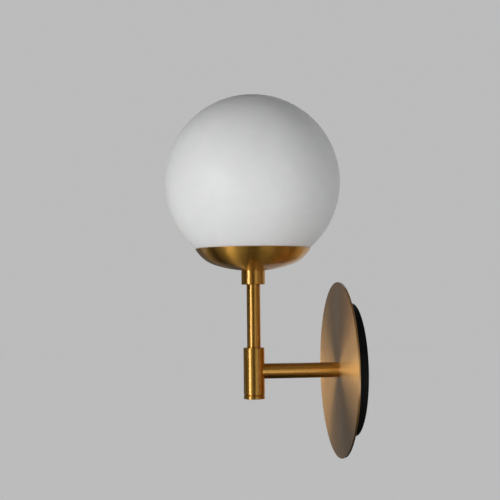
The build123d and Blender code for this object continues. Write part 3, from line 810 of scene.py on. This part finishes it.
def makeFloor():
    mesh = bmesh.new()
    bmesh.ops.create_grid(mesh, x_segments=1, y_segments=1, size=stage["floorSize"] / 2)
    height = cadBox[0].z - stage["floorDrop"]
    bmesh.ops.translate(mesh, vec=(0, 0, height), verts=mesh.verts)
    floor = meshObject("floor", mesh)
    floor.visible_glossy = False  # the metal sees the bottom card in its place
    material, tree, shader = newMaterial("paleFloor")
    connect(tree, grey(stage["floorColour"]), shader["Base Color"])
    connect(tree, grey(1.0), shader["Emission Color"])
    worldShare = stage["fill"] * stage["floorColour"]  # the world's light already gives the floor this
    glow = calc(tree, "SUBTRACT", paleShade(tree, stage["fill"]), worldShare)
    connect(tree, glow, shader["Emission Strength"])
    setSockets(shader, {"Roughness": stage["floorRoughness"], "Specular IOR Level": 0.0})
    floor.data.materials.append(material)


def makeWorld():
    world = bpy.data.worlds.new("studio")
    bpy.context.scene.world = world
    world.use_nodes = True
    tree = world.node_tree
    connect(tree, paleShade(tree, stage["fill"]), tree.nodes["Background"].inputs["Color"])


# dark cards round the lamps, seen only as reflections in the metal
cards = {
    "front": {"centre": (0.0, -2.4, 0.2), "across": (4.8, 0, 0), "up": (0, 0, 4.4)},
    "near": {"centre": (2.4, 0.0, 0.2), "across": (0, 4.8, 0), "up": (0, 0, 4.4)},
    "wall": {"centre": (1.2, 2.4, 0.2), "across": (2.4, 0, 0), "up": (0, 0, 4.4)},
    "far": {"centre": (-2.4, -1.0, 0.2), "across": (0, 2.8, 0), "up": (0, 0, 4.4)},
    "top": {"centre": (0.0, 0.0, 2.4), "across": (4.8, 0, 0), "up": (0, 4.8, 0)},
    "bottom": {"centre": (0.0, 0.0, -1.4), "across": (4.8, 0, 0), "up": (0, 4.8, 0)},
}


def makeCards():
    material, tree = newMaterial("darkCard")[:2]
    glow = addNode(tree, "ShaderNodeEmission", {"Color": grey(stage["cards"]), "Strength": 1.0})
    connect(tree, glow.outputs[0], tree.nodes["Material Output"].inputs["Surface"])
    for name, card in cards.items():
        across, up, centre = (Vector(card[key]) for key in ("across", "up", "centre"))
        place = Matrix((across, up, across.cross(up))).transposed().to_4x4()
        mesh = bmesh.new()
        bmesh.ops.create_grid(mesh, x_segments=1, y_segments=1, size=0.5)
        bmesh.ops.transform(mesh, matrix=Matrix.Translation(centre) @ place, verts=mesh.verts)
        cardObject = meshObject(name + "Card", mesh)
        cardObject.data.materials.append(material)
        cardObject.visible_camera = False
        cardObject.visible_diffuse = False
        cardObject.visible_transmission = False
        cardObject.visible_shadow = False


# Azimuth 0 is straight out of the wall and 90 is the camera's side; degrees are how wide and tall.
# "only" keeps a lamp to reflections (glossy) or to matt surfaces (diffuse); "lights" names one piece
# that the lamp lights alone.
softboxes = {
    "key": {"azimuth": 35, "elevation": 0, "degrees": (16, 20), "radiance": 9.5},
    "above": {"azimuth": 10, "elevation": 45, "degrees": (70, 30), "radiance": 0.75, "only": "glossy"},
    "upFront": {"azimuth": 20, "elevation": 20, "degrees": (30, 20), "radiance": 0.62},
    "lowFront": {"azimuth": 50, "elevation": -20, "degrees": (30, 20), "radiance": 1.1},
    "lowNear": {"azimuth": 110, "elevation": -20, "degrees": (30, 20), "radiance": 1.5},
    "lowFar": {"azimuth": -40, "elevation": -20, "degrees": (30, 20), "radiance": 0.5},
    "wallSide": {"azimuth": 130, "elevation": 0, "degrees": (70, 60), "radiance": 0.28},
    "back": {"azimuth": -116, "elevation": 15, "degrees": (50, 60), "radiance": 1.5, "only": "diffuse"},
    "rim": {"azimuth": -83, "elevation": 0, "degrees": (40, 60), "radiance": 0.1},
    "discSheen": {
        "azimuth": -40, "elevation": -2, "degrees": (40, 20), "radiance": 2.7, "lights": "wallDisc",
    },
    "under": {"azimuth": 40, "elevation": -45, "degrees": (80, 30), "radiance": 0.28, "only": "glossy"},
    "nearFill": {"azimuth": 80, "elevation": 0, "degrees": (80, 60), "radiance": 0.8, "only": "diffuse"},
    "farFill": {"azimuth": -25, "elevation": 0, "degrees": (60, 60), "radiance": 0.8, "only": "diffuse"},
}
lamps = {"distance": 1.6, "targetHeight": 0.08}


def outward(azimuth, elevation):
    azimuth, elevation = math.radians(azimuth), math.radians(elevation)
    level = math.cos(elevation)
    return Vector((math.sin(azimuth) * level, -math.cos(azimuth) * level, math.sin(elevation)))


def makeLamps():
    target = Vector((0.0, stemAxisY, lamps["targetHeight"]))
    for name, box in softboxes.items():
        width, height = (
            2 * lamps["distance"] * math.tan(math.radians(turn / 2)) for turn in box["degrees"]
        )
        data = bpy.data.lights.new(name, "AREA")
        data.shape = "RECTANGLE"
        data.size, data.size_y = width, height
        data.energy = box["radiance"] * math.pi * width * height
        back = outward(box["azimuth"], box["elevation"])
        lamp = bpy.data.objects.new(name, data)
        lamp.location = target + back * lamps["distance"]
        lamp.rotation_euler = (-back).to_track_quat("-Z", "Y").to_euler()
        lamp.visible_glossy = box.get("only") != "diffuse"
        lamp.visible_diffuse = box.get("only") != "glossy"
        if "lights" in box:
            lit = bpy.data.collections.new(name)
            lit.objects.link(bpy.data.objects[box["lights"]])
            lamp.light_linking.receiver_collection = lit
        bpy.context.scene.collection.objects.link(lamp)


makeCards()
makeFloor()
makeWorld()
makeLamps()
bpy.context.scene.view_settings.view_transform = "Standard"
print("stage set")
